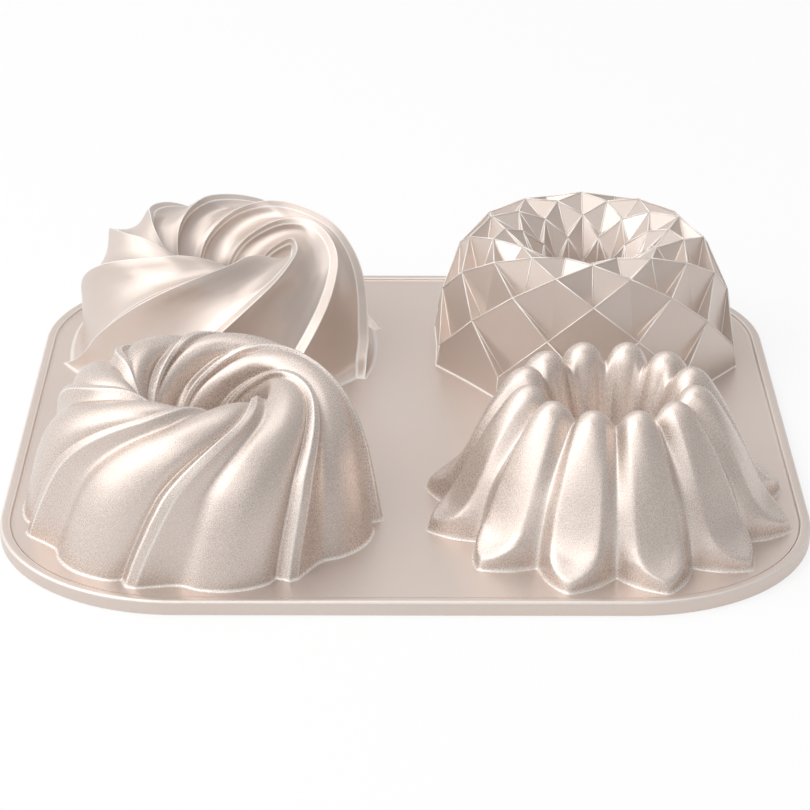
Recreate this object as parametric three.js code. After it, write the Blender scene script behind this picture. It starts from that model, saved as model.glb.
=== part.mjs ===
// A cast aluminium cake pan with four fluted ring moulds, lying upside down on its rim.
// Sizes are in millimetres and +Z is up. The origin is under the middle of the pan, on the plane it rests on.
// The real pan is one casting. It is drawn as its rim, the four quarters of its deck, and a wall, a crown,
// a funnel and a tube for each mould. They meet on flat faces, or with a narrow gap.
import * as THREE from 'three';

// Tray: each mould has a round field of footRadius, and the tray closes round the four fields
const footRadius = 76.4;
const mouldGap = 12.2;
const footToBorder = 1.7;
const borderWidth = 4.4;
const cornerTuck = 7.1;
const rimHeight = 6.2;
const rimEdgeRound = 0.9;
const ledgeWidth = 5;
const deckStep = 1.2;
const deckThickness = 3.2;
const seamGap = 0.3;

// Moulds: the centre tube reaches up to the seam, and the crown rises above it
const castWall = 3;
const tubeHeight = 21;
const crownRise = 40.5;
const tubeSeamRadius = 16.5;
const tubeMouthRadius = 13;
const swirlRelief = 5.6;
const bladeRelief = 6.2;

// Places worked out from the sizes above
const mouldHeight = tubeHeight + crownRise;
const mouldOffset = footRadius + mouldGap / 2;
const trayHalf = mouldOffset + footRadius + footToBorder + borderWidth;
const cornerRadius = trayHalf - mouldOffset - cornerTuck;
const deckTop = rimHeight - deckStep;
const ledgeTop = deckTop - deckThickness;

// How finely the round forms are cut
const cornerSteps = 12;
const tubeSteps = 40;

const degrees = THREE.MathUtils.degToRad;

// A point of a mould's section. Radius runs from the tube (0) to the foot (1). Height runs from the deck (0)
// to the crown (1) on the outside, and from the tube's seam (0) to the crown (1) in the funnel.
function sectionRadius(share) {
  return THREE.MathUtils.lerp(tubeSeamRadius, footRadius, share);
}

function outsidePoint([radiusShare, heightShare]) {
  return new THREE.Vector2(sectionRadius(radiusShare), heightShare * mouldHeight);
}

function funnelPoint([radiusShare, heightShare]) {
  return new THREE.Vector2(sectionRadius(radiusShare), tubeHeight + heightShare * crownRise);
}

// A line over the mould, from the deck to the crown and down to the seam above the tube
function sectionLine(outsideShares, funnelShares) {
  return [...outsideShares.map(outsidePoint), ...funnelShares.map(funnelPoint)];
}

// The same line moved into the metal, by a depth for each of its points. Its two ends stay on their planes.
function sunkLine(line, depthAt) {
  const last = line.length - 1;
  return line.map((point, index) => {
    const before = line[Math.max(index - 1, 0)];
    const after = line[Math.min(index + 1, last)];
    const along = after.clone().sub(before).normalize();
    const intoMetal = new THREE.Vector2(-along.y, along.x);
    if (index === 0) intoMetal.set(-1, 0);
    if (index === last) intoMetal.set(1, 0);
    return point.clone().addScaledVector(intoMetal, depthAt(index));
  });
}

// A ring mould's wall, crown and funnel, each a narrow gap from the next. Each rail is a line over the mould
// at its own place in the period, with one point for each row, and each row is turned by its twist.
// The cavity side repeats every second row.
function mouldShell({ count, phase, rails, twists, shoulderRow, topRow }) {
  const period = degrees(360) / count;
  const noGap = new THREE.Vector2();
  const ringAt = (lines, row, gap = noGap) => {
    const ring = [];
    for (let copy = 0; copy < count; copy += 1) {
      rails.forEach((rail, index) => {
        const angle = degrees(phase + twists[row]) + (copy + rail.turnAt(row)) * period;
        const { x: radius, y: height } = lines[index][row].clone().add(gap);
        ring.push(new THREE.Vector3(radius * Math.cos(angle), radius * Math.sin(angle), height));
      });
    }
    return ring;
  };
  const outside = rails.map((rail) => rail.line);
  const cavity = outside.map((line) => sunkLine(line, () => castWall));
  const between = (first, last, firstGap) => {
    const gapAt = (row) => (row === first ? firstGap : noGap);
    const rows = [...twists.keys()].slice(first, last + 1);
    const cavityRows = rows.filter((row) => (row - first) % 2 === 0 || row === last).reverse();
    return solidFromRings([
      ...rows.map((row) => ringAt(outside, row, gapAt(row))),
      ...cavityRows.map((row) => ringAt(cavity, row, gapAt(row))),
    ]);
  };
  return {
    wall: between(0, shoulderRow, noGap),
    crown: between(shoulderRow, topRow, new THREE.Vector2(0, seamGap)),
    funnel: between(topRow, twists.length - 1, new THREE.Vector2(-seamGap, 0)),
    mouth: ringAt(cavity, 0),
  };
}

// One closed body from rings of equal length, each joined to the next and the last to the first
function solidFromRings(rings) {
  const size = rings[0].length;
  const positions = rings.flat().flatMap((point) => point.toArray());
  const triangles = [];
  rings.forEach((ring, row) => {
    const nextRow = (row + 1) % rings.length;
    const next = rings[nextRow];
    for (let column = 0; column < size; column += 1) {
      const nextColumn = (column + 1) % size;
      const a = row * size + column;
      const b = row * size + nextColumn;
      const c = nextRow * size + nextColumn;
      const d = nextRow * size + column;
      const alongAC = ring[column].distanceTo(next[nextColumn]) <= ring[nextColumn].distanceTo(next[column]);
      triangles.push(...(alongAC ? [a, b, c, a, c, d] : [a, b, d, b, c, d]));
    }
  });
  const geometry = new THREE.BufferGeometry();
  geometry.setAttribute('position', new THREE.Float32BufferAttribute(positions, 3));
  geometry.setIndex(triangles);
  return geometry;
}

// Petals: twelve leaf-shaped lobes that rise from sharp valleys and end in pointed feet.
// Each row gives radius and height for the leaf's middle, its edge and the valley beside it.
const petalOutsideShares = [
  [1.0, 0.0, 0.87, 0.0, 0.735, 0.0],
  [0.973, 0.081, 0.843, 0.15, 0.726, 0.098],
  [0.902, 0.12, 0.806, 0.205, 0.715, 0.163],
  [0.83, 0.172, 0.77, 0.26, 0.698, 0.236],
  [0.763, 0.26, 0.726, 0.341, 0.669, 0.325],
  [0.693, 0.398, 0.673, 0.447, 0.619, 0.439],
  [0.626, 0.545, 0.609, 0.569, 0.536, 0.561],
  [0.554, 0.688, 0.536, 0.693, 0.449, 0.672],
  [0.486, 0.807, 0.462, 0.795, 0.374, 0.753],
  [0.417, 0.904, 0.397, 0.875, 0.326, 0.805],
  [0.362, 0.95, 0.346, 0.914, 0.289, 0.828],
  [0.3, 0.967, 0.295, 0.93, 0.25, 0.837],
];
const petalFunnelShares = [
  [0.239, 0.921, 0.245, 0.869, 0.214, 0.736],
  [0.192, 0.84, 0.205, 0.8, 0.18, 0.681],
  [0.152, 0.691, 0.169, 0.667, 0.152, 0.58],
  [0.102, 0.469, 0.119, 0.459, 0.114, 0.407],
  [0.05, 0.222, 0.062, 0.222, 0.062, 0.198],
  [0.0, 0.0, 0.0, 0.0, 0.0, 0.0],
];
const petalMiddleShares = [0.39, 0.39, 0.3, 0.25];
const petalShoulderRow = 6;
const petalCount = 12;
const petalPhase = 15;
const petalEdgeTurn = 0.293;

function petalMould() {
  const lineAt = (first) => sectionLine(
    petalOutsideShares.map((row) => row.slice(first, first + 2)),
    petalFunnelShares.map((row) => row.slice(first, first + 2)),
  );
  const leaf = lineAt(0);
  const edge = lineAt(2);
  const valley = lineAt(4);
  const middle = leaf.map((point, row) => {
    const share = petalMiddleShares[Math.min(row, petalMiddleShares.length - 1)];
    return point.clone().lerp(edge[row], share);
  });
  const rails = [
    { turn: 0, line: leaf },
    { turn: petalEdgeTurn / 2, line: middle },
    { turn: petalEdgeTurn, line: edge },
    { turn: 0.5, line: valley },
    { turn: 1 - petalEdgeTurn, line: edge },
    { turn: 1 - petalEdgeTurn / 2, line: middle },
  ].map(({ turn, line }) => ({ turnAt: () => turn, line }));
  const twists = leaf.map(() => 0);
  const topRow = petalOutsideShares.length - 1;
  const shape = { count: petalCount, phase: petalPhase, rails, twists };
  return mouldShell({ ...shape, shoulderRow: petalShoulderRow, topRow });
}

// Swirl and blade moulds: one section line and one relief, with rails sunk below it by their own shares.
// Each rail's turn is given at the foot and at the top of the crown, and runs evenly between them.
function twistedMould(pattern) {
  const { outsideShares, funnelShares, relief, reliefShares, railShares } = pattern;
  const crest = sectionLine(outsideShares, funnelShares);
  const topRow = outsideShares.length - 1;
  const rails = railShares.map(([footTurn, topTurn, depthShare]) => ({
    turnAt: (row) => THREE.MathUtils.lerp(footTurn, topTurn, Math.min(row / topRow, 1)),
    line: sunkLine(crest, (row) => relief * reliefShares[row] * depthShare),
  }));
  return mouldShell({ ...pattern, rails, topRow });
}

// Swirl: seven soft flutes, each beside a narrow raised band and a hollow face
const swirl = {
  count: 7,
  phase: -60.2,
  shoulderRow: 4,
  relief: swirlRelief,
  outsideShares: [
    [0.953, 0.0], [0.92, 0.146], [0.881, 0.309], [0.84, 0.472], [0.783, 0.626], [0.703, 0.772],
    [0.603, 0.886], [0.484, 0.964], [0.367, 0.998],
  ],
  funnelShares: [
    [0.267, 0.985], [0.192, 0.909], [0.134, 0.765], [0.083, 0.58], [0.042, 0.358], [0.008, 0.123], [0.0, 0.0],
  ],
  reliefShares: [1, 1, 1, 1, 1, 1, 0.95, 0.9, 0.85, 0.8, 0.75, 0.6, 0.45, 0.3, 0.15, 0],
  twists: [0, 2, 5, 8.5, 13, 21, 31.5, 44.5, 54.5, 62.5, 73, 89, 108, 124, 137, 142],
  railShares: [
    [0, 0, 0], [0.062, 0.1, 0], [0.33, 0.22, 1], [0.44, 0.36, 0.42], [0.6, 0.55, 0.02], [0.75, 0.72, 0.05],
    [0.87, 0.85, 0.3], [0.945, 0.94, 0.86],
  ],
};

// Blades: eight sharp crests, steep on one side and hollow on the other
const blades = {
  count: 8,
  phase: -29.5,
  shoulderRow: 5,
  relief: bladeRelief,
  outsideShares: [
    [0.965, 0.0], [0.91, 0.088], [0.883, 0.192], [0.85, 0.328], [0.816, 0.463], [0.778, 0.598], [0.725, 0.72],
    [0.649, 0.833], [0.548, 0.904], [0.436, 0.943], [0.335, 0.945],
  ],
  funnelShares: [
    [0.234, 0.835], [0.142, 0.669], [0.078, 0.498], [0.03, 0.299], [0.0, 0.0],
  ],
  reliefShares: [0.9, 1, 1, 1, 1, 1, 1, 1, 1, 1, 0.95, 0.85, 0.7, 0.5, 0.25, 0],
  twists: [0, 7, 13, 18.5, 26, 34.5, 44, 56, 69, 84, 95, 112, 132, 148, 160, 171],
  railShares: [
    [0, 0, 0], [0.09, 0.1, 0.25], [0.22, 0.22, 0.55], [0.4, 0.38, 0.83], [0.6, 0.57, 1], [0.8, 0.75, 0.95],
    [0.955, 0.89, 0.77],
  ],
};

// Facets: a net of ridge corners, ten to a row, each row half a step on from the last. A plate hangs from
// every corner, between the corners beside it, and its lower end is sunk behind the corner below.
// Each row gives radius and height for its corners, then for the sunk ends beside or behind them.
const facetShoulderRow = 3;
const facetCount = 10;
const facetPhase = -90;
const facetInsetShare = 0.8;
const facetDropShare = 1.3;
const facetOutsideShares = [
  [0.342, 0.943], [0.476, 0.953], [0.608, 0.881, 0.476, 0.789], [0.72, 0.722, 0.581, 0.637],
  [0.808, 0.473, 0.693, 0.444], [0.893, 0.163, 0.786, 0.122], [0.915, 0, 0.848, 0],
];
const facetFunnelShares = [
  [0.476, 0.929], [0.342, 0.914], [0.225, 0.798, 0.25, 0.778], [0.109, 0.593, 0.145, 0.612],
  [0.04, 0.321, 0.08, 0.346], [0.015, 0.123, 0.04, 0.123], [0, 0, 0, 0],
];

// Some rows of plates on one side of the crown, as triangles, with the rings above and below them. The points
// are moved by a shift for each row.
function facetSkirt({ corners, sunkEnds, parity, firstRow, lastRow }, shiftAt) {
  const footRow = corners.length - 1;
  const columns = 2 * facetCount;
  const place = (section, row, column) => {
    const point = section[row].clone().add(shiftAt(row));
    const angle = degrees(facetPhase) + (column * degrees(360)) / columns;
    return new THREE.Vector3(point.x * Math.cos(angle), point.x * Math.sin(angle), point.y);
  };
  const isCorner = (row, column) => (column + Math.min(row, footRow - 1)) % 2 === parity;
  const triangles = [];
  for (let row = firstRow; row <= lastRow; row += 1) {
    for (let step = 0; step < columns; step += 1) {
      const column = step + columns;
      if (isCorner(row, column)) continue;
      const top = place(corners, row - 1, column);
      const left = place(corners, row, column - 1);
      const right = place(corners, row, column + 1);
      const foot = place(sunkEnds, row + 1, column);
      triangles.push([top, left, foot], [top, foot, right]);
      if (row + 1 < footRow) {
        const below = place(corners, row + 1, column);
        triangles.push([left, below, foot], [right, foot, below]);
      } else {
        triangles.push([left, place(corners, footRow, column - 1), foot]);
        triangles.push([right, foot, place(corners, footRow, column + 1)]);
      }
    }
  }
  const ridgeRing = (row) => Array.from({ length: columns }, (unused, column) => (
    place(corners, isCorner(row, column) ? row : row + 1, column)
  ));
  const footRing = () => Array.from({ length: columns }, (unused, column) => (
    place(isCorner(footRow, column) ? corners : sunkEnds, footRow, column)
  ));
  return {
    triangles,
    above: ridgeRing(firstRow - 1),
    below: lastRow + 1 === footRow ? footRing() : ridgeRing(lastRow),
  };
}

function facetMould() {
  const outsideCorners = facetOutsideShares.map(outsidePoint);
  const funnelCorners = facetFunnelShares.map(funnelPoint);
  outsideCorners[0].copy(funnelCorners[1]);
  funnelCorners[0].copy(outsideCorners[1]);
  const outside = {
    corners: outsideCorners,
    sunkEnds: facetOutsideShares.map((row) => outsidePoint(row.slice(-2))),
    parity: 1,
  };
  const funnel = {
    corners: funnelCorners,
    sunkEnds: facetFunnelShares.map((row) => funnelPoint(row.slice(-2))),
    parity: 0,
  };
  const shell = (skirt, firstRow, lastRow, side, gap) => {
    const footRow = skirt.corners.length - 1;
    const shiftBy = (depth) => (row) => {
      const shift = new THREE.Vector2(-side * facetInsetShare * depth, -facetDropShare * depth);
      if (row < 2) shift.x = 0;
      if (row === footRow) shift.set(-side * depth, 0);
      return row === firstRow - 1 || row === firstRow ? shift.add(gap) : shift;
    };
    const rows = { ...skirt, firstRow, lastRow };
    const skin = facetSkirt(rows, shiftBy(0));
    const cavity = facetSkirt(rows, shiftBy(castWall));
    const triangles = [
      ...skin.triangles,
      ...reversed(cavity.triangles),
      ...ringBetween(skin.below, cavity.below),
      ...reversed(ringBetween(skin.above, cavity.above)),
    ];
    const facing = side > 0 ? triangles : reversed(triangles);
    return { geometry: new THREE.BufferGeometry().setFromPoints(facing.flat()), below: cavity.below };
  };
  const footLoop = outsideCorners.length - 2;
  const wall = shell(outside, facetShoulderRow + 1, footLoop, 1, new THREE.Vector2(0, -seamGap));
  const crown = shell(outside, 1, facetShoulderRow, 1, new THREE.Vector2());
  const lastFunnelRow = funnelCorners.length - 2;
  const inner = shell(funnel, 1, lastFunnelRow, -1, new THREE.Vector2(-seamGap, 0));
  return { wall: wall.geometry, crown: crown.geometry, funnel: inner.geometry, mouth: wall.below };
}

function reversed(triangles) {
  return triangles.map(([a, b, c]) => [a, c, b]);
}

// A strip of triangles between two rings of as many points
function ringBetween(outer, inner) {
  return outer.flatMap((point, index) => {
    const next = (index + 1) % outer.length;
    return [[point, inner[index], outer[next]], [outer[next], inner[index], inner[next]]];
  });
}

// Centre tube: a plain tapered pipe, from the seam below the funnel down to the deck's level
function centreTube() {
  const section = [
    new THREE.Vector2(tubeMouthRadius, 0),
    new THREE.Vector2(tubeMouthRadius + castWall, 0),
    new THREE.Vector2(tubeSeamRadius + castWall, tubeHeight),
    new THREE.Vector2(tubeSeamRadius, tubeHeight),
    new THREE.Vector2(tubeMouthRadius, 0),
  ];
  const geometry = new THREE.LatheGeometry(section, tubeSteps);
  geometry.rotateX(Math.PI / 2);
  return geometry;
}

// One rounded corner of the tray's outline, drawn in from its outer edge by an inset. Corner 0 is at +X +Y.
const cornerSides = [[1, 1], [-1, 1], [-1, -1], [1, -1]];

function trayCorner(corner, inset) {
  const radius = cornerRadius - inset;
  const centre = trayHalf - cornerRadius;
  const [sideX, sideY] = cornerSides[corner];
  const points = [];
  for (let step = 0; step <= cornerSteps; step += 1) {
    const angle = degrees(90) * (corner + step / cornerSteps);
    points.push(new THREE.Vector2(
      sideX * centre + radius * Math.cos(angle),
      sideY * centre + radius * Math.sin(angle),
    ));
  }
  return points;
}

// Rim: a border that stands above the deck, with a ledge under the deck's edge
function rim() {
  const section = [
    [borderWidth + ledgeWidth, 0],
    [rimEdgeRound / 2, 0],
    [0, rimEdgeRound / 2],
    [0, rimHeight - rimEdgeRound],
    [rimEdgeRound / 3, rimHeight - rimEdgeRound / 3],
    [rimEdgeRound, rimHeight],
    [borderWidth - rimEdgeRound / 3, rimHeight],
    [borderWidth, rimHeight - rimEdgeRound / 3],
    [borderWidth, ledgeTop],
    [borderWidth + ledgeWidth, ledgeTop],
  ];
  const rings = section.map(([inset, height]) => (
    cornerSides.flatMap((side, corner) => trayCorner(corner, inset))
      .map((point) => new THREE.Vector3(point.x, point.y, height))
  ));
  return solidFromRings(rings);
}

// Deck: a flat plate in four quarters, each with an opening under its mould, cut to the mouth of its cavity
function deckQuarter(corner, mouth) {
  const [sideX, sideY] = cornerSides[corner];
  const edge = trayHalf - borderWidth - seamGap;
  const alongX = new THREE.Vector2(sideX * edge, 0);
  const alongY = new THREE.Vector2(0, sideY * edge);
  const ends = corner % 2 === 0 ? [alongX, alongY] : [alongY, alongX];
  const outline = [new THREE.Vector2(), ends[0], ...trayCorner(corner, borderWidth + seamGap), ends[1]];
  const shape = new THREE.Shape(outline);
  const centre = new THREE.Vector2(sideX * mouldOffset, sideY * mouldOffset);
  shape.holes.push(new THREE.Path(mouth.map((point) => new THREE.Vector2(point.x, point.y).add(centre))));
  const geometry = new THREE.ExtrudeGeometry(shape, { depth: deckThickness, bevelEnabled: false });
  geometry.translate(0, 0, ledgeTop);
  return geometry;
}

// The finish: a satin champagne coat on cast metal, a little lighter or darker from piece to piece
function coated(colour) {
  return new THREE.MeshStandardMaterial({ color: colour, roughness: 0.42, metalness: 0.75 });
}

const moulds = [
  { name: 'facet', place: 'back_right', shell: facetMould(), colour: 0xd1c0b3 },
  { name: 'blade', place: 'back_left', shell: twistedMould(blades), colour: 0xcebdb0 },
  { name: 'swirl', place: 'front_left', shell: twistedMould(swirl), colour: 0xd2c2b5 },
  { name: 'petal', place: 'front_right', shell: petalMould(), colour: 0xd0bfb2 },
];
const trayColour = 0xcbbaae;

const group = new THREE.Group();

function addPiece(name, geometry, colour, position = new THREE.Vector3()) {
  const mesh = new THREE.Mesh(geometry, coated(colour));
  mesh.name = name;
  mesh.position.copy(position);
  group.add(mesh);
}

addPiece('rim', rim(), trayColour);
moulds.forEach(({ name, place, shell, colour }, corner) => {
  const [sideX, sideY] = cornerSides[corner];
  const centre = new THREE.Vector3(sideX * mouldOffset, sideY * mouldOffset, deckTop);
  addPiece(`deck_${place}`, deckQuarter(corner, shell.mouth), trayColour);
  addPiece(`${name}_wall`, shell.wall, colour, centre);
  addPiece(`${name}_crown`, shell.crown, colour, centre);
  addPiece(`${name}_funnel`, shell.funnel, colour, centre);
  addPiece(`${name}_tube`, centreTube(), colour, centre);
});

export default group;
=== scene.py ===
import math

import bmesh
import bpy
import numpy as np
from mathutils import Matrix, Vector


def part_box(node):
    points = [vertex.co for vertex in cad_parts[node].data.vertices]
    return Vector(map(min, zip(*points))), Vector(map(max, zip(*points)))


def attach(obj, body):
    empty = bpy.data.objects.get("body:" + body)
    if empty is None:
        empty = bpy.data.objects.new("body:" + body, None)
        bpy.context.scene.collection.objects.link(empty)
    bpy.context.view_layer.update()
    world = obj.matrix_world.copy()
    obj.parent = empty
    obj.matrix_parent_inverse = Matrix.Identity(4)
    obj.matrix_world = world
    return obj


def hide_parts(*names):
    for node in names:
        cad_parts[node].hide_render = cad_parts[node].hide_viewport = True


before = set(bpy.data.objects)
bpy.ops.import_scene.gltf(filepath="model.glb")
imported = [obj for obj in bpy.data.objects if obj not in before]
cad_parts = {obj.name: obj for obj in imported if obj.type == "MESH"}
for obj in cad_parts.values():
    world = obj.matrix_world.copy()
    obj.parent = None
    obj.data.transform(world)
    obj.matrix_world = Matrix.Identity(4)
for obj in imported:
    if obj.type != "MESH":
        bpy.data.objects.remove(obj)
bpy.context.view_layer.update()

mm = 0.001            # the tables below are in millimetres, the scene is in metres
weldDistance = 1e-6   # vertices nearer than this become one
creaseAngle = 40      # edges folded by more degrees than this stay crisp
halfTurn = math.pi
quarterTurn = math.pi / 2


# the camera stands where the photo was taken from, and comes first
camera = {
    "distance": 1.3385,
    "elevation": 24.92,
    "swing": 0.309,
    "roll": -0.26,
    "target": (0.0003, 0.0287, 0.0),
    "lens": 133.74,
    "sensorWidth": 36,
    "farthest": 50,
}


def makeCamera(config):
    elevation, swing, roll = (math.radians(config[key]) for key in ("elevation", "swing", "roll"))
    flat = math.cos(elevation)
    look = Vector((math.sin(swing) * flat, math.cos(swing) * flat, -math.sin(elevation)))
    right = Vector((math.cos(swing), -math.sin(swing), 0))
    right = Matrix.Rotation(roll, 3, look) @ right
    up = right.cross(look)
    data = bpy.data.cameras.new("camera")
    data.lens = config["lens"]
    data.sensor_width = config["sensorWidth"]
    data.clip_end = config["farthest"]
    shot = bpy.data.objects.new("camera", data)
    place = Matrix((right, up, -look)).transposed().to_4x4()
    place.translation = Vector(config["target"]) - look * config["distance"]
    shot.matrix_world = place
    bpy.context.scene.collection.objects.link(shot)
    bpy.context.scene.camera = shot


makeCamera(camera)
print("camera placed")


# where the frame puts the pan's parts
rimLow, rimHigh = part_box("rim")
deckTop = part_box("deck_front_right")[1].z
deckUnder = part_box("deck_front_right")[0].z


def mouldCentre(name):
    # the axis of a mould's tube, at the level of the deck
    low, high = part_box(f"{name}_tube")
    return Vector(((low.x + high.x) / 2, (low.y + high.y) / 2, deckTop))


# helpers for curves and meshes
def alongRows(table, at):
    # a smooth curve through the rows of a table, read at places counted in rows
    rows = np.asarray(table, float)
    padded = np.vstack([2 * rows[0] - rows[1], rows, 2 * rows[-1] - rows[-2]])
    start = np.clip(np.floor(at).astype(int), 0, len(rows) - 2)
    share = (np.asarray(at, float) - start)[:, None]
    a, b, c, d = (padded[start + step] for step in range(4))
    return b + 0.5 * share * (c - a + share * (2 * a - 5 * b + 4 * c - d + share * (3 * (b - c) + d - a)))


def crowded(first, last, count, creases, width, pull, samples=2000):
    # count + 1 places from first to last, closer together near the creases
    fine = np.linspace(first, last, samples)
    density = np.ones_like(fine)
    for crease in creases:
        density += pull * np.exp(-((fine - crease) / width) ** 2)
    total = np.concatenate([[0], np.cumsum((density[1:] + density[:-1]) / 2)])
    return np.interp(np.linspace(0, total[-1], count + 1), total, fine)


def softened(values, places, at, width, steps=7):
    # a line through points, with its corners rounded over a width
    shifts = np.linspace(-1, 1, steps)
    return sum(np.interp(at + width * shift, places, values) for shift in shifts) / steps


def chart(columns, rows):
    # a sheet of quads to be shaped and joined into a tube, and the column and row of each of its vertices
    bm = bmesh.new()
    bmesh.ops.create_grid(bm, x_segments=columns, y_segments=rows - 1, size=0.5)
    places = np.array([vert.co for vert in bm.verts]) + 0.5
    column = np.round(places[:, 0] * columns).astype(int) % columns
    return bm, column, np.round(places[:, 1] * (rows - 1)).astype(int)


def finishPiece(bm, name, material, centre=(0, 0, 0), sharpness=creaseAngle):
    # welded, facing outwards, smooth but for its creases, and moved to its place
    bmesh.ops.translate(bm, verts=bm.verts[:], vec=centre)
    bmesh.ops.remove_doubles(bm, verts=bm.verts[:], dist=weldDistance)
    bmesh.ops.recalc_face_normals(bm, faces=bm.faces[:])
    for face in bm.faces:
        face.smooth = True
    mesh = bpy.data.meshes.new(name)
    bm.to_mesh(mesh)
    bm.free()
    if sharpness:
        mesh.set_sharp_from_angle(angle=math.radians(sharpness))
    mesh.materials.append(material)
    piece = bpy.data.objects.new(name, mesh)
    bpy.context.scene.collection.objects.link(piece)
    return piece


def standFor(piece, mould):
    parts = [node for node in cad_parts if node.startswith(mould)]
    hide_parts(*parts)
    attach(piece, "root")
    print(piece.name, "shaped,", len(piece.data.polygons), "faces")


footRings = []   # where each mould's wall comes down, filled as the moulds are made


# shader maths written as Python
class Wire:
    def __init__(self, shader, socket):
        self.shader = shader
        self.socket = socket

    def __add__(self, other):
        return self.shader.maths("ADD", self, other)

    def __sub__(self, other):
        return self.shader.maths("SUBTRACT", self, other)

    def __rsub__(self, other):
        return self.shader.maths("SUBTRACT", other, self)

    def __mul__(self, other):
        return self.shader.maths("MULTIPLY", self, other)

    __radd__ = __add__
    __rmul__ = __mul__


class Shader:
    def __init__(self, tree):
        self.tree = tree
        tree.nodes.clear()

    def node(self, kind, settings=None, **sockets):
        # a socket goes by its name, with _ for a space, or by its number, such as s0
        made = self.tree.nodes.new(kind)
        for key, value in (settings or {}).items():
            setattr(made, key, value)
        for key, value in sockets.items():
            socket = made.inputs[int(key[1:])] if key[1:].isdigit() else made.inputs[key.replace("_", " ")]
            if isinstance(value, Wire):
                self.tree.links.new(value.socket, socket)
            else:
                socket.default_value = value
        return made

    def wire(self, node, output=0):
        return Wire(self, node.outputs[output])

    def maths(self, operation, first, second):
        return self.wire(self.node("ShaderNodeMath", {"operation": operation}, s0=first, s1=second))

    def mix(self, share, first, second):
        return self.wire(self.node("ShaderNodeMix", {"data_type": "RGBA"}, s0=share, s6=first, s7=second), 2)


coat = {
    "metal": (0.69, 0.605, 0.555, 1),
    "warm": (0.67, 0.57, 0.51, 1),
    # pale colour painted where the edge attribute is set, a painted highlight that stands partly for wear on
    # convex edges
    "edge": (0.93, 0.89, 0.85, 1),
    "metallic": 0.68,
    "edgeDulling": 0.45,
    "grainSize": 0.4,
    "grainDepth": 0.11,
    "grainDetail": 2,
    "fleckShade": 0.07,
    "fleckSheen": 0.2,
    "cloudScale": 14,
    "cloudDetail": 3,
    # how strong the grain is, and how rough the sheen
    "grainy": (1.0, 0.31),
    "fine": (0.45, 0.4),
}


def champagneCoat(name, grain, sheen):
    # satin metallic coating with a fine sandy grain, painted paler and duller where the edge attribute is set: a
    # painted highlight along crests, creases, ridges and feet, standing partly for wear on the convex edges
    material = bpy.data.materials.new(name)
    material.use_nodes = True
    shader = Shader(material.node_tree)
    place = shader.wire(shader.node("ShaderNodeTexCoord"), "Object")
    grainScale = 1 / (coat["grainSize"] * mm)
    sand = shader.wire(shader.node("ShaderNodeTexNoise", Vector=place, Scale=grainScale,
                                   Detail=coat["grainDetail"]), 0)
    flecks = shader.wire(shader.node("ShaderNodeTexVoronoi", Vector=place, Scale=grainScale), 1)
    fleckLevel = shader.wire(shader.node("ShaderNodeSeparateColor", Color=flecks), 0)
    clouds = shader.wire(shader.node("ShaderNodeTexNoise", Vector=place, Scale=coat["cloudScale"],
                                     Detail=coat["cloudDetail"]), 0)
    edge = shader.wire(shader.node("ShaderNodeAttribute", {"attribute_name": "edge"}), 2)
    colour = shader.mix(clouds, coat["metal"], coat["warm"])
    lightness = 1 + (fleckLevel - 0.5) * (coat["fleckShade"] * grain)
    colour = shader.wire(shader.node("ShaderNodeVectorMath", {"operation": "SCALE"}, s0=colour, s3=lightness))
    # painted highlight: paler colour and less metal where the edge attribute is set
    colour = shader.mix(edge, colour, coat["edge"])
    metallic = coat["metallic"] - edge * coat["edgeDulling"]
    roughness = sheen + (fleckLevel - 0.5) * (coat["fleckSheen"] * grain)
    bump = shader.node("ShaderNodeBump", Strength=grain, Distance=coat["grainDepth"] * mm, Height=sand)
    surface = shader.node("ShaderNodeBsdfPrincipled", Base_Color=colour, Metallic=metallic,
                          Roughness=roughness, Normal=shader.wire(bump))
    shader.node("ShaderNodeOutputMaterial", Surface=shader.wire(surface))
    return material


grainyCoat = champagneCoat("champagne_grainy", *coat["grainy"])
fineCoat = champagneCoat("champagne_fine", *coat["fine"])
print("coat mixed")


# what every mould's casting shares, with reaches and levellings counted in rows of its table
casting = {
    "wall": 3.0,
    "footFillet": 0.9,
    "filletSteps": 5,
    "footLine": 0.55,       # brightness of the painted highlight along the wall's foot
    "flangeWidth": 2.2,
    "flangeDip": 0.35,
    "lipRound": 1.2,
    "lipSteps": 6,
    "mouthSteps": 5,
    "mouthReach": 1.02,     # the mouth's lip comes down just past the deck's underside
    "underTuck": 0.2,
    "slopeReach": 0.04,
    "footLevelling": 0.6,
    "tubeLevelling": 0.5,
    "cavityRowSteps": 3,
}


def shellStations(rowStops, cavityStops, config):
    # the closed path round a mould's section: each station is a row, a depth into the metal as a share of the
    # wall, and a shift of radius and height
    fillet, filletSteps = config["footFillet"], config["filletSteps"]
    lip, lipSteps, mouthSteps = config["lipRound"], config["lipSteps"], config["mouthSteps"]
    under = (deckTop - deckUnder) / mm
    filletRows = fillet / config["firstRise"]
    stations = [(0, 0, config["flangeWidth"], -config["flangeDip"])]
    for step in range(filletSteps):
        angle = quarterTurn * step / filletSteps
        stations.append((filletRows * (1 - math.cos(angle)), 0, fillet * (1 - math.sin(angle)), 0))
    stations += [(row, 0, 0, 0) for row in rowStops if row >= filletRows]
    for step in range(1, lipSteps):
        angle = halfTurn * step / lipSteps
        stations.append((rowStops[-1], (1 - math.cos(angle)) / 2, 0, -lip * math.sin(angle)))
    stations += [(row, 1, 0, 0) for row in cavityStops[::-1]]
    stations.append((0, 1, 0, -(under - lip) / 2))
    for step in range(mouthSteps + 1):
        angle = quarterTurn * step / mouthSteps
        drop = under - lip + lip * math.sin(angle) * config["mouthReach"]
        stations.append((0, 1, lip * (1 - math.cos(angle)), -drop))
    stations.append((0, 1, 2 * lip, config["underTuck"] - under))
    return np.array(stations)


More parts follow.
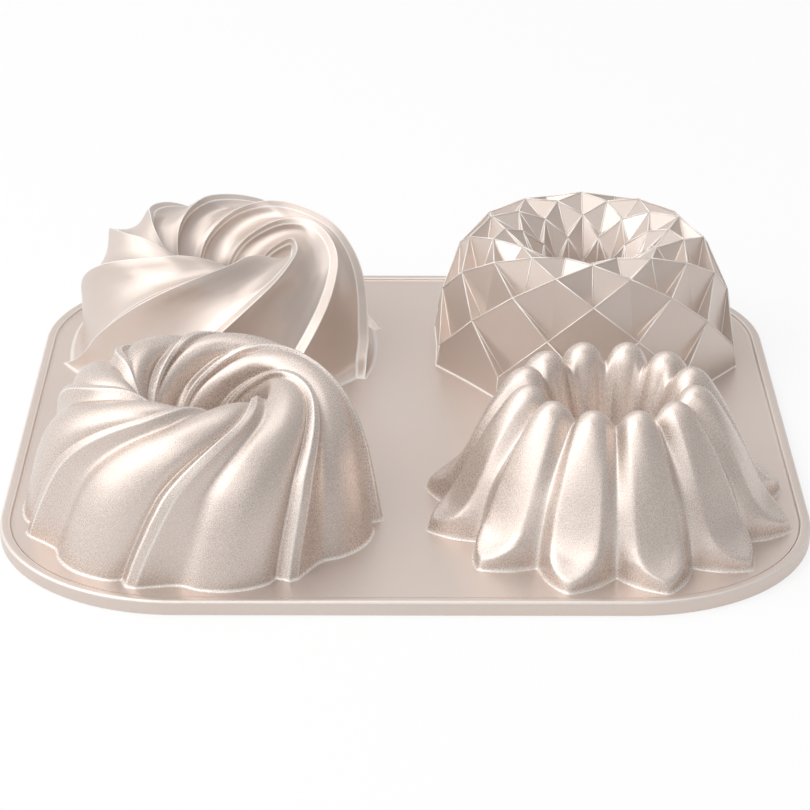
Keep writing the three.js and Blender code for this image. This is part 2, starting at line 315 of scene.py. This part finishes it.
def shellPiece(name, config, sectionAt, columnStops, rowStops, material):
    # sectionAt(column places, row places) gives radius, height, angle in degrees and the brightness of the
    # painted highlight lines for every pair
    config = {**casting, **config}
    count, wall, lastRow = config["count"], config["wall"], int(rowStops[-1])
    cavityStops = np.linspace(0, lastRow, lastRow * config["cavityRowSteps"] + 1)
    stations = shellStations(rowStops, cavityStops, config)
    bm, column, row = chart(len(columnStops) * count, len(stations) + 1)
    row = row % len(stations)
    rows = stations[:, 0]
    radius, height, angle, paintedLines = sectionAt(columnStops, rows)
    footRadii = np.tile(radius[0], count) - wall / 2
    # the way into the metal, square to the wall but level at the foot and at the tube's end
    low = sectionAt(columnStops, np.maximum(rows - config["slopeReach"], 0))
    high = sectionAt(columnStops, np.minimum(rows + config["slopeReach"], lastRow))
    run, rise = high[0] - low[0], high[1] - low[1]
    length = np.hypot(run, rise)
    footShare = np.clip(1 - rows / config["footLevelling"], 0, 1)[:, None]
    tubeShare = np.clip(1 - (lastRow - rows) / config["tubeLevelling"], 0, 1)[:, None]
    wayOut = -rise / length * (1 - footShare - tubeShare) - footShare + tubeShare
    wayUp = run / length * (1 - footShare - tubeShare)
    size = np.hypot(wayOut, wayUp)
    depth = stations[:, 1:2] * wall
    radius = radius + wayOut / size * depth + stations[:, 2:3]
    height = height + wayUp / size * depth + stations[:, 3:4]
    copy, stop = column // len(columnStops), column % len(columnStops)
    r, z, turn = radius[row, stop], height[row, stop], np.radians(angle[row, stop] + copy * 360 / count)
    places = np.stack([r * np.cos(turn), r * np.sin(turn), z], 1) * mm
    # painted highlight on the outer face: along the foot's fillet and along the lines that sectionAt paints
    onFoot = np.arange(len(stations)) <= config["filletSteps"]
    paintedHighlight = np.where(onFoot, config["footLine"], paintedLines.T).T * (stations[:, 1:2] == 0)
    highlightLayer = bm.verts.layers.float.new("edge")
    for vert, place, level in zip(bm.verts, places, paintedHighlight[row, stop]):
        vert.co = place
        vert[highlightLayer] = level
    centre = mouldCentre(config["node"])
    footTurns = np.radians(angle[0] + np.arange(count)[:, None] * 360 / count).ravel()
    footRings.append([Vector((r * math.cos(turn), r * math.sin(turn), 0)) * mm + centre
                      for r, turn in zip(footRadii, footTurns)])
    standFor(finishPiece(bm, name, material, centre), config["node"])


# what the swirl and blade moulds share: one crest line, with a section sunk below it
winding = {
    "columns": 64,
    "creaseWidth": 0.02,
    "creasePull": 8.0,
    "rowSteps": 7,
    "sectionSteps": 24,
    "leanReach": 0.05,
    # painted highlight lines along the section's corners
    "lineFade": 1.6,
    "lineStart": 3,
}

swirl = {
    "node": "swirl",
    "count": 7,
    "phase": -60.2,
    "relief": 5.6,
    "firstRise": 9.0,
    # radius, height above the deck, twist, share of the relief
    "crest": [
        (73.6, 0.0, 0, 1), (71.6, 9.0, 2, 1), (69.3, 19.0, 5, 1), (66.8, 29.0, 8.5, 1), (63.4, 38.5, 13, 1),
        (58.6, 47.5, 21, 1), (52.6, 54.5, 31.5, 0.95), (45.5, 59.2, 44.5, 0.9), (38.5, 61.15, 54.5, 0.85),
        (32.5, 60.7, 62.5, 0.85), (28.0, 57.8, 73, 0.85), (24.5, 52.0, 89, 0.75), (21.5, 44.5, 108, 0.6),
        (19.0, 35.5, 124, 0.4), (17.0, 26.0, 137, 0.2), (16.5, 21.0, 142, 0), (15.0, 10.5, 148, 0),
        (13.0, 0.0, 154, 0),
    ],
    "crownRow": 8,
    # turn and depth at the foot, then at the crown, from the raised band round to the next one
    "section": [
        (0, 0, 0, 0), (0.062, 0, 0.1, 0), (0.2, 0.72, 0.17, 0.48), (0.33, 1, 0.24, 0.68),
        (0.44, 0.42, 0.36, 0.34), (0.6, 0.02, 0.55, 0.02), (0.75, 0.05, 0.72, 0), (0.87, 0.3, 0.85, 0.16),
        (0.945, 0.86, 0.94, 0.5), (1, 0, 1, 0),
    ],
    "cornersAt": [0, 1, 8],
    "rounding": 0.011,
    # pale lines painted as a highlight along these corners
    "lineCorners": [0, 1],
    "lineWidth": 0.4,
    "lineLevel": 0.6,
}

blades = {
    "node": "blade",
    "count": 8,
    "phase": -29.5,
    "relief": 6.2,
    "firstRise": 5.4,
    "crest": [
        (74.3, 0.0, 0, 0.9), (71.0, 5.4, 7, 1), (69.4, 11.8, 13, 1), (67.4, 20.2, 18.5, 1), (65.4, 28.5, 26, 1),
        (63.1, 36.8, 34.5, 1), (59.9, 44.3, 44, 1), (55.4, 51.2, 56, 1), (49.3, 55.6, 69, 1),
        (42.6, 58.0, 84, 1), (36.6, 58.1, 95, 0.95), (30.5, 54.8, 112, 0.85), (25.0, 48.1, 132, 0.7),
        (21.2, 41.2, 148, 0.5), (18.3, 33.1, 160, 0.25), (16.5, 21.0, 171, 0), (15.0, 10.5, 178, 0),
        (13.0, 0.0, 185, 0),
    ],
    "crownRow": 10,
    "section": [
        (0, 0, 0, 0), (0.09, 0.25, 0.1, 0.25), (0.22, 0.55, 0.22, 0.6), (0.4, 0.83, 0.38, 0.9),
        (0.6, 1, 0.57, 1), (0.8, 0.97, 0.75, 0.8), (0.968, 0.8, 0.88, 0.36), (1, 0, 1, 0),
    ],
    "cornersAt": [0, 6],
    "rounding": 0.006,
    # pale lines painted as a highlight along these corners
    "lineCorners": [0, 6],
    "lineWidth": 0.38,
    "lineLevel": 0.95,
}


def sectionTables(config):
    # the section at the foot and at the crown as fine lines, smooth between its corners
    table, steps = config["section"], config["sectionSteps"]
    corners = sorted({*config["cornersAt"], len(table) - 1})
    lines = [], [], [], []
    for first, last in zip(corners, corners[1:]):
        fine = np.linspace(0, last - first, steps * (last - first) + 1)
        rows = alongRows(table[first:last + 1], fine)
        for line, values in zip(lines, rows.T):
            line.extend(values if first == 0 else values[1:])
    return [np.array(line) for line in lines], corners


def twistedPiece(name, config, material):
    config = {**winding, **config}
    crest, section, count, reach = (config[key] for key in ("crest", "section", "count", "leanReach"))
    (footTurns, footDepths, crownTurns, crownDepths), corners = sectionTables(config)
    creases = [section[corner][0] for corner in corners]
    stops = crowded(0, 1, config["columns"], [*creases, 1], config["creaseWidth"], config["creasePull"])[:-1]
    lastRow = len(crest) - 1
    rowStops = np.linspace(0, lastRow, lastRow * config["rowSteps"] + 1)

    def sectionAt(places, rows):
        line = alongRows(crest, rows)
        ahead = alongRows(crest, np.minimum(rows + reach, lastRow))
        behind = alongRows(crest, np.maximum(rows - reach, 0))
        along = ahead[:, :2] - behind[:, :2]
        along /= np.hypot(along[:, 0], along[:, 1])[:, None]
        # the section leans with the wall above the foot, and lies level at the foot itself
        along[:, 0] *= np.clip(rows, 0, 1)
        climb = np.clip(rows / config["crownRow"], 0, 1)
        radius, height, angle, paintedLines = [], [], [], []
        for (r, z, twist, share), (run, rise), c in zip(line, along, climb):
            # column stops follow the section's corners as they drift from the foot to the crown
            turns = footTurns * (1 - c) + crownTurns * c
            depths = footDepths * (1 - c) + crownDepths * c
            at = np.interp(places, footTurns, turns)
            paddedTurns = np.concatenate([turns[:-1] - 1, turns, turns[1:] + 1])
            paddedDepths = np.concatenate([depths[:-1], depths, depths[1:]])
            depth = softened(paddedDepths, paddedTurns, at, config["rounding"])
            # painted highlight: pale lines along the corners in lineCorners, fading away from them
            lines = [turns[0] if corner == 0 else np.interp(section[corner][0], footTurns, turns)
                     for corner in config["lineCorners"]]
            apart = np.min([np.abs((at - line + 0.5) % 1 - 0.5) for line in lines], 0) * 2 * math.pi * r / count
            fade = np.clip(config["lineFade"] - apart / config["lineWidth"], 0, 1)
            paintedLines.append(fade * np.clip(share * config["lineStart"], 0, config["lineLevel"]))
            sunk = depth * config["relief"] * max(share, 0)
            radius.append(r - rise * sunk)
            height.append(z + run * sunk)
            angle.append(config["phase"] + twist + at * 360 / count)
        return np.array(radius), np.array(height), np.array(angle), np.array(paintedLines)

    shellPiece(name, config, sectionAt, stops, rowStops, material)


twistedPiece("swirl_ring", swirl, grainyCoat)
twistedPiece("blade_ring", blades, fineCoat)


# petal mould: leaf-shaped lobes between sharp valleys
petals = {
    "node": "petal",
    "count": 12,
    "phase": 15,
    "firstRise": 5.0,
    "edgeTurn": 0.293,
    # radius and height of the leaf's middle, of its edge and of the valley
    "rows": [
        (76.4, 0.0, 68.6, 0.0, 60.5, 0.0), (74.8, 5.0, 67.0, 9.2, 60.0, 6.0), (70.5, 7.4, 64.8, 12.6, 59.3, 10.0),
        (66.2, 10.6, 62.6, 16.0, 58.3, 14.5), (62.2, 16.0, 60.0, 21.0, 56.6, 20.0),
        (58.0, 24.5, 56.8, 27.5, 53.6, 27.0), (54.0, 33.5, 53.0, 35.0, 48.6, 34.5),
        (49.7, 42.3, 48.6, 42.6, 43.4, 41.3), (45.6, 49.6, 44.2, 48.9, 38.9, 46.3),
        (41.5, 55.6, 40.3, 53.8, 36.0, 49.5), (38.2, 58.4, 37.2, 56.2, 33.8, 50.9),
        (34.5, 59.5, 34.2, 57.2, 31.5, 51.5), (30.8, 58.3, 31.2, 56.2, 29.3, 50.8),
        (28.0, 55.0, 28.8, 53.4, 27.3, 48.6), (25.6, 49.0, 26.6, 48.0, 25.6, 44.5),
        (22.6, 40.0, 23.6, 39.6, 23.3, 37.5), (19.5, 30.0, 20.2, 30.0, 20.2, 29.0),
        (16.5, 21.0, 16.5, 21.0, 16.5, 21.0), (15.0, 10.5, 15.0, 10.5, 15.0, 10.5),
        (13.0, 0.0, 13.0, 0.0, 13.0, 0.0),
    ],
    # how round the leaf is across, from the pointed foot up to the crown
    "roundness": [1.12, 1.7, 1.85, 1.95, 2, 2, 2, 2, 2, 2, 2],
    "rounding": 0.034,
    # painted highlight along the leaf's creases and valleys, as strong as the section bends
    "edgeWidth": 0.06,
    "edgeGain": 0.9,
    "columns": 32,
    "creaseWidth": 0.03,
    "creasePull": 2.5,
    "sectionSamples": 1101,
    # rounding of the leaf along its length, in rows: full at the toe, and less from the row where it ends
    "toeRound": 0.32,
    "toeRows": 3,
    "leafShare": 0.2,
    "roundSteps": 9,
    # rows of quads up to the toe's edge, over the toe and above it
    "footSteps": 7,
    "toeTop": 5,
    "toeSteps": 34,
    "toeCreaseWidth": 0.1,
    "toeCreasePull": 5.0,
    "rowSteps": 6,
}


def petalPiece(name, config, material):
    edgeTurn, toeTop = config["edgeTurn"], config["toeTop"]
    lastRow = len(config["rows"]) - 1
    stops = crowded(0, 1, config["columns"], [0, edgeTurn, 0.5, 1 - edgeTurn, 1],
                    config["creaseWidth"], config["creasePull"])[:-1]
    rowStops = np.concatenate([
        np.linspace(0, 1, config["footSteps"] + 1)[:-1],
        crowded(1, toeTop, config["toeSteps"], [1], config["toeCreaseWidth"], config["toeCreasePull"])[:-1],
        np.linspace(toeTop, lastRow, (lastRow - toeTop) * config["rowSteps"] + 1),
    ])
    fineTurns = np.linspace(-0.6, 1.6, config["sectionSamples"])   # a period and a margin to soften over
    fold = np.abs((fineTurns + 0.5) % 1 - 0.5)   # 0 in the middle of a leaf, 0.5 in a valley
    toEdge = np.clip(fold / edgeTurn, 0, 1)
    toValley = np.clip((fold - edgeTurn) / (0.5 - edgeTurn), 0, 1)
    shifts = np.linspace(-1, 1, config["roundSteps"])

    def rowsAt(rows):
        # straight up the foot's wall, then smooth
        smooth = alongRows(config["rows"][1:], np.maximum(rows - 1, 0))
        first, second = np.array(config["rows"][0]), np.array(config["rows"][1])
        straight = first + (second - first) * np.clip(rows, 0, 1)[:, None]
        return np.where(rows[:, None] < 1, straight, smooth)

    def sectionAt(places, rows):
        roundShare = np.clip(config["toeRows"] - rows, config["leafShare"], 1)
        reach = np.minimum(config["toeRound"] * roundShare, np.minimum(rows, lastRow - rows))
        line = sum(rowsAt(rows + reach * shift) for shift in shifts) / len(shifts)
        power = np.interp(rows, range(len(config["roundness"])), config["roundness"])
        radius, height, paintedLines = [], [], []
        for (leafR, leafZ, edgeR, edgeZ, valleyR, valleyZ), p in zip(line, power):
            fineR = leafR + (edgeR - leafR) * toEdge ** p + (valleyR - edgeR) * toValley
            fineZ = leafZ + (edgeZ - leafZ) * toEdge ** p + (valleyZ - edgeZ) * toValley
            radius.append(softened(fineR, fineTurns, places, config["rounding"]))
            height.append(softened(fineZ, fineTurns, places, config["rounding"]))
            # painted highlight where the section bends, in valleys as on edges
            bend = softened(fineR, fineTurns, places, config["edgeWidth"]) - radius[-1]
            paintedLines.append(np.clip(np.abs(bend) * config["edgeGain"], 0, 1))
        angle = config["phase"] + places * 360 / config["count"]
        return np.array(radius), np.array(height), np.repeat(angle[None], len(rows), 0), np.array(paintedLines)

    shellPiece(name, config, sectionAt, stops, rowStops, material)


petalPiece("petal_ring", petals, grainyCoat)


# facet mould: folded plates that hang from ridge corners, ten to a row
facets = {
    "node": "facet",
    "count": 10,
    "phase": -90,
    "ridgeWidth": 0.34,
    "ridgeLevel": 0.75,
    "ridgeAngle": 16,      # folds by more degrees than this get a bead painted bright as a highlight
    "ridgeSides": 8,
    "creaseAngle": 8,
    "weld": 0.02,
    "filletSteps": 4,
    "lipDepth": 1.0,
    "tube": ((16.5, 21.0), (13.0, 0.0)),
    # corner radius and height, then those of the sunk end under the corner above
    "outside": [
        (37.0, 58.0), (45.0, 58.6), (52.9, 54.2, 45.0, 48.5), (59.6, 44.4, 51.3, 39.2), (64.9, 29.1, 58.0, 27.3),
        (70.0, 10.0, 63.6, 7.5), (71.2, 0.6, 67.1, 0.6),
    ],
    "funnel": [
        (45.0, 58.6), (37.0, 58.0), (30.0, 53.3, 31.5, 52.5), (23.0, 45.0, 25.2, 45.8), (18.9, 34.0, 21.3, 35.0),
        (17.4, 26.0, 18.9, 26.0), (16.5, 21.0, 16.5, 21.0),
    ],
    "inset": 2.4,
    "drop": 3.9,
}


def facetShift(config, side, depth):
    # how the cavity's plates lie under the outer ones, row by row
    last = len(config["outside"]) - 1

    def shiftAt(row):
        if row == last:
            return -side * casting["wall"] * depth, 0
        return -side * config["inset"] * depth * (row > 1), -config["drop"] * depth

    return shiftAt


def facetPoint(config, radius, height, column):
    turn = math.radians(config["phase"] + column * 180 / config["count"])
    return Vector((radius * math.cos(turn), radius * math.sin(turn), height)) * mm


def plateWedge(bm, rows, parity, config, shiftAt, facing, outward):
    # the plates over one period of a skirt, two columns wide, those that show marked
    last = len(rows) - 1

    def vert(row, column, sunk=False):
        radius, height = rows[row][-2:] if sunk else rows[row][:2]
        shiftR, shiftZ = shiftAt(row)
        return bm.verts.new(facetPoint(config, radius + shiftR, height + shiftZ, column))

    for row in range(1, last):
        for column in range(2):
            if (column + row) % 2 == parity:
                continue
            top = vert(row - 1, column)
            left, right = vert(row, column - 1), vert(row, column + 1)
            foot = vert(row + 1, column, sunk=True)
            faces = [(top, left, foot), (top, foot, right)]
            if row < last - 1:
                below = vert(row + 1, column)
                faces += [(left, below, foot), (right, foot, below)]
            else:
                leftFoot, rightFoot = vert(last, column - 1), vert(last, column + 1)
                faces += [(left, leftFoot, foot), (right, foot, rightFoot)]
            for face in faces:
                bm.faces.new(face if facing > 0 else face[::-1]).material_index = facing == outward


def hemWedge(bm, config, pathAt, highlightSteps=0):
    # a strip over one period, along the path that each column follows, its first faces painted bright as a
    # highlight
    highlightLayer = bm.loops.layers.float["edge"]
    for column in range(2):
        here, there = ([bm.verts.new(facetPoint(config, r, z, place)) for r, z in pathAt(place)]
                       for place in (column, column + 1))
        for step in range(len(here) - 1):
            face = bm.faces.new((here[step], here[step + 1], there[step + 1], there[step]))
            for loop in face.loops:
                loop[highlightLayer] = step < highlightSteps


def roundLip(radius, width, height, depth, steps):
    # half an oval under a wall's end, from one face to the other
    turns = [halfTurn * step / steps for step in range(steps + 1)]
    return [(radius + width * (1 - math.cos(turn)) / 2, height - depth * math.sin(turn)) for turn in turns]


def beadLines(bm, lines, radius, level, sides):
    # fine beads along the ridges, pointed at both ends, painted bright as a highlight
    highlightLayer = bm.loops.layers.float["edge"]
    for start, stop in lines:
        across = (stop - start).orthogonal().normalized()
        ways = [Matrix.Rotation(2 * math.pi * side / sides, 3, stop - start) @ across for side in range(sides)]
        taper = radius / 2 / (stop - start).length
        ends = ((start, 0), (start.lerp(stop, taper), 1), (stop.lerp(start, taper), 1), (stop, 0))
        rings = [[bm.verts.new(end + radius * reach * way) for way in ways] for end, reach in ends]
        for here, there in zip(rings, rings[1:]):
            for side in range(sides):
                face = bm.faces.new((here[side - 1], here[side], there[side], there[side - 1]))
                for loop in face.loops:
                    loop[highlightLayer] = level


def facetPiece(name, config, material):
    outside, funnel = config["outside"], config["funnel"]
    count, wall, filletSteps = config["count"], casting["wall"], config["filletSteps"]
    bm = bmesh.new()
    bm.loops.layers.float.new("edge")
    for depth, facing in ((0, 1), (1, -1)):
        plateWedge(bm, outside, 1, config, facetShift(config, 1, depth), facing, 1)
        plateWedge(bm, funnel, 0, config, facetShift(config, -1, depth), -facing, -1)

    def footRadius(column):
        return outside[-1][0] if column % 2 == 0 else outside[-1][2]

    def footPath(column):
        # out over the flange, back inside the deck, round the mouth's lip and up to the cavity
        radius, inner, rise = footRadius(column), footRadius(column) - wall, outside[-1][1]
        lip, under = casting["lipRound"], (deckTop - deckUnder) / mm
        turns = [quarterTurn * step / filletSteps for step in range(filletSteps + 1)]
        fillet = [(radius + rise * (1 - math.cos(turn)), rise * (1 - math.sin(turn))) for turn in turns]
        flange = (radius + casting["flangeWidth"], -casting["flangeDip"])
        mouth = [(inner + lip * (1 - math.cos(turn)), lip - under - lip * math.sin(turn) * casting["mouthReach"])
                 for turn in turns]
        return [*fillet, flange, (inner + 2 * lip, casting["underTuck"] - under), *mouth[::-1], (inner, rise)]

    def tubePath(column):
        (seamRadius, seamHeight), (mouthRadius, mouthHeight) = config["tube"]
        middleRadius, middleHeight = (seamRadius + mouthRadius) / 2, seamHeight / 2
        lip = roundLip(mouthRadius, wall, mouthHeight, config["lipDepth"], casting["lipSteps"])
        return [(seamRadius, seamHeight), (middleRadius, middleHeight), *lip,
                (middleRadius + wall, middleHeight), (seamRadius + wall, seamHeight)]

    hemWedge(bm, config, footPath, highlightSteps=filletSteps)
    hemWedge(bm, config, tubePath)
    bmesh.ops.spin(bm, geom=bm.verts[:] + bm.edges[:] + bm.faces[:], cent=(0, 0, 0), axis=(0, 0, 1),
                   angle=2 * math.pi * (count - 1) / count, steps=count - 1, use_duplicate=True)
    bmesh.ops.remove_doubles(bm, verts=bm.verts[:], dist=config["weld"] * mm)
    bmesh.ops.recalc_face_normals(bm, faces=bm.faces[:])
    creased, ridged = math.radians(config["creaseAngle"]), math.radians(config["ridgeAngle"])
    ridges = []
    for edge in bm.edges:
        edge.smooth = edge.calc_face_angle() < creased
        if all(face.material_index for face in edge.link_faces) and edge.calc_face_angle() > ridged:
            ridges.append([vert.co.copy() for vert in edge.verts])
    for face in bm.faces:
        face.material_index = 0
    beadLines(bm, ridges, config["ridgeWidth"] * mm, config["ridgeLevel"], config["ridgeSides"])
    centre = mouldCentre(config["node"])
    footRings.append([facetPoint(config, footRadius(column) - wall / 2, 0, column) + centre
                      for column in range(2 * count)])
    standFor(finishPiece(bm, name, material, centre, sharpness=None), config["node"])


facetPiece("facet_ring", facets, fineCoat)


# tray: the border and the flat deck between the moulds
tray = {
    "cornerRadius": 75.4,
    "cornerSteps": 24,
    "border": 4.4,
    "innerFillet": 0.9,
    "topRound": 1.1,
    "footRound": 0.7,
    "ledge": 5.0,
    "levelSlack": 0.01,
    # how bright the painted highlight on each rounded edge is
    "innerFoot": 0.3,
    "innerTop": 0.6,
    "outerTop": 0.5,
    "outerFoot": 0.2,
}


def trayLoop(config, inset, height):
    # a rounded square, drawn in from the outer edge by an inset
    centre = (rimHigh.x - rimLow.x) / 2 - config["cornerRadius"] * mm
    radius = (config["cornerRadius"] - inset) * mm
    steps = config["cornerSteps"]
    points = []
    for corner, (sideX, sideY) in enumerate(((1, 1), (-1, 1), (-1, -1), (1, -1))):
        for step in range(steps + 1):
            turn = quarterTurn * (corner + step / steps)
            points.append(Vector((sideX * centre + radius * math.cos(turn),
                                  sideY * centre + radius * math.sin(turn), height * mm)))
    return points


def arc(inset, height, radius, first, last, highlightLevel, steps=4):
    # part of a circle in the border's section, from one direction to another in degrees, its inner points painted
    # with a highlight
    turns = [math.radians(first + (last - first) * step / steps) for step in range(steps + 1)]
    return [(inset + radius * math.cos(turn), height + radius * math.sin(turn), highlightLevel * (0 < step < steps))
            for step, turn in enumerate(turns)]


def loopOf(bm, points):
    verts = [bm.verts.new(point) for point in points]
    return [bm.edges.new((verts[place - 1], vert)) for place, vert in enumerate(verts)]


def trayPiece(name, config, material):
    top, deck, under = rimHigh.z / mm, deckTop / mm, deckUnder / mm
    border, fillet, edge, foot = (config[key] for key in ("border", "innerFillet", "topRound", "footRound"))
    inside = border + config["ledge"]
    section = [
        (border + 2 * fillet, deck, 0),
        *arc(border + fillet, deck + fillet, fillet, 270, 180, config["innerFoot"]),
        *arc(border - edge, top - edge, edge, 0, 90, config["innerTop"]),
        *arc(edge, top - edge, edge, 90, 180, config["outerTop"]),
        *arc(foot, foot, foot, 180, 270, config["outerFoot"]),
        (inside - foot, 0, 0), (inside, foot, 0), (inside, under, 0), (inside + fillet, under, 0),
    ]
    loops = np.array([trayLoop(config, inset, height) for inset, height, _ in section])
    bm, column, row = chart(loops.shape[1], len(section))
    highlightLayer = bm.verts.layers.float.new("edge")
    for vert, place, level in zip(bm.verts, column, row):
        vert.co = loops[level, place]
        vert[highlightLayer] = section[level][2]
    bmesh.ops.remove_doubles(bm, verts=bm.verts[:], dist=weldDistance)
    ends = [], []   # the open edges at the deck's top and at its underside
    for item in bm.edges:
        if item.is_boundary:
            ends[abs(item.verts[0].co.z - deckUnder) < config["levelSlack"] * mm].append(item)
    for points in footRings:
        mouth = loopOf(bm, points)
        made = bmesh.ops.extrude_edge_only(bm, edges=mouth)["geom"]
        verts = [item for item in made if isinstance(item, bmesh.types.BMVert)]
        bmesh.ops.translate(bm, verts=verts, vec=(0, 0, deckUnder - deckTop))
        ends[0].extend(mouth)
        ends[1].extend(item for item in made if isinstance(item, bmesh.types.BMEdge) and item.is_boundary)
    for edges in ends:
        bmesh.ops.triangle_fill(bm, edges=edges, use_beauty=True, use_dissolve=False, normal=(0, 0, 1))
    piece = finishPiece(bm, name, material)
    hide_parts(*(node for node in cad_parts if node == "rim" or node.startswith("deck")))
    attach(piece, "root")
    print(name, "shaped,", len(piece.data.polygons), "faces")


trayPiece("tray", tray, fineCoat)


# studio: radiance of 1 is white
studio = {
    "white": (1, 1, 1, 1),
    "roomLevel": 0.5,
    "whiteWall": {"level": 0.36, "towards": (-0.6, 0.2, 0.3)},
    "lamps": {
        "side": {"place": (-1.78, -0.44, 1.54), "size": 2.8, "radiance": 1.3},
        "front": {"place": (-0.47, -1.75, 1.42), "size": 1.4, "radiance": 0.9},
        "key": {"place": (-1.22, -0.71, 1.69), "size": 0.9, "radiance": 1.3},
        "top": {"place": (-0.22, 0.61, 2.00), "size": 1.6, "radiance": 0.9},
    },
    "floorSize": 6.0,
    "floorColour": (0.97, 0.97, 0.97, 1),
    "floorGlow": 0.8,
}


def softbox(name, config):
    data = bpy.data.lights.new(name, "AREA")
    data.size = config["size"]
    data.energy = config["radiance"] * math.pi * config["size"] ** 2
    lamp = bpy.data.objects.new(name, data)
    lamp.location = config["place"]
    lamp.rotation_euler = (-Vector(config["place"])).to_track_quat("-Z", "Y").to_euler()
    bpy.context.scene.collection.objects.link(lamp)


for lampName, lampConfig in studio["lamps"].items():
    softbox(lampName, lampConfig)


def makeWorld(config):
    # the camera sees a white room, and the metal sees its white walls behind and to the left
    world = bpy.data.worlds.new("studio")
    world.use_nodes = True
    sky = Shader(world.node_tree)
    path = sky.node("ShaderNodeLightPath")
    wall = config["whiteWall"]
    direction = sky.wire(sky.node("ShaderNodeTexCoord"), "Generated")
    facing = sky.wire(sky.node("ShaderNodeVectorMath", {"operation": "DOT_PRODUCT"},
                               s0=direction, s1=wall["towards"]), 1)
    shown = sky.wire(sky.node("ShaderNodeMath", {"operation": "ADD", "use_clamp": True},
                              s0=facing, s1=wall["level"]))
    shown = sky.maths("MAXIMUM", sky.wire(path, "Is Camera Ray"), sky.wire(path, "Is Glossy Ray") * shown)
    seen = sky.maths("MAXIMUM", shown, sky.wire(path, "Is Transmission Ray"))
    strength = seen * (1 - config["roomLevel"]) + config["roomLevel"]
    background = sky.node("ShaderNodeBackground", Color=config["white"], Strength=strength)
    sky.node("ShaderNodeOutputWorld", Surface=sky.wire(background))
    bpy.context.scene.world = world


def whiteFloor(config):
    # mostly its own white glow where it is seen, so that it stays white round the pan's soft shadow
    material = bpy.data.materials.new("floor_white")
    material.use_nodes = True
    paint = Shader(material.node_tree)
    path = paint.node("ShaderNodeLightPath")
    glow = paint.node("ShaderNodeEmission", Color=config["white"], Strength=1.0)
    matt = paint.node("ShaderNodeBsdfDiffuse", Color=config["floorColour"])
    seen = paint.maths("MAXIMUM", paint.wire(path, "Is Camera Ray"), paint.wire(path, "Is Glossy Ray"))
    seen = paint.maths("MAXIMUM", seen, paint.wire(path, "Is Transmission Ray"))
    both = paint.node("ShaderNodeMixShader", s0=seen * config["floorGlow"],
                      s1=paint.wire(matt), s2=paint.wire(glow))
    paint.node("ShaderNodeOutputMaterial", Surface=paint.wire(both))
    return material


def makeFloor(config):
    bm = bmesh.new()
    bmesh.ops.create_grid(bm, x_segments=1, y_segments=1, size=config["floorSize"])
    mesh = bpy.data.meshes.new("floor")
    bm.to_mesh(mesh)
    bm.free()
    mesh.materials.append(whiteFloor(config))
    ground = bpy.data.objects.new("floor", mesh)
    bpy.context.scene.collection.objects.link(ground)
    return ground


makeWorld(studio)
floor = makeFloor(studio)

bpy.context.scene.view_settings.view_transform = "Standard"
print("studio lit")
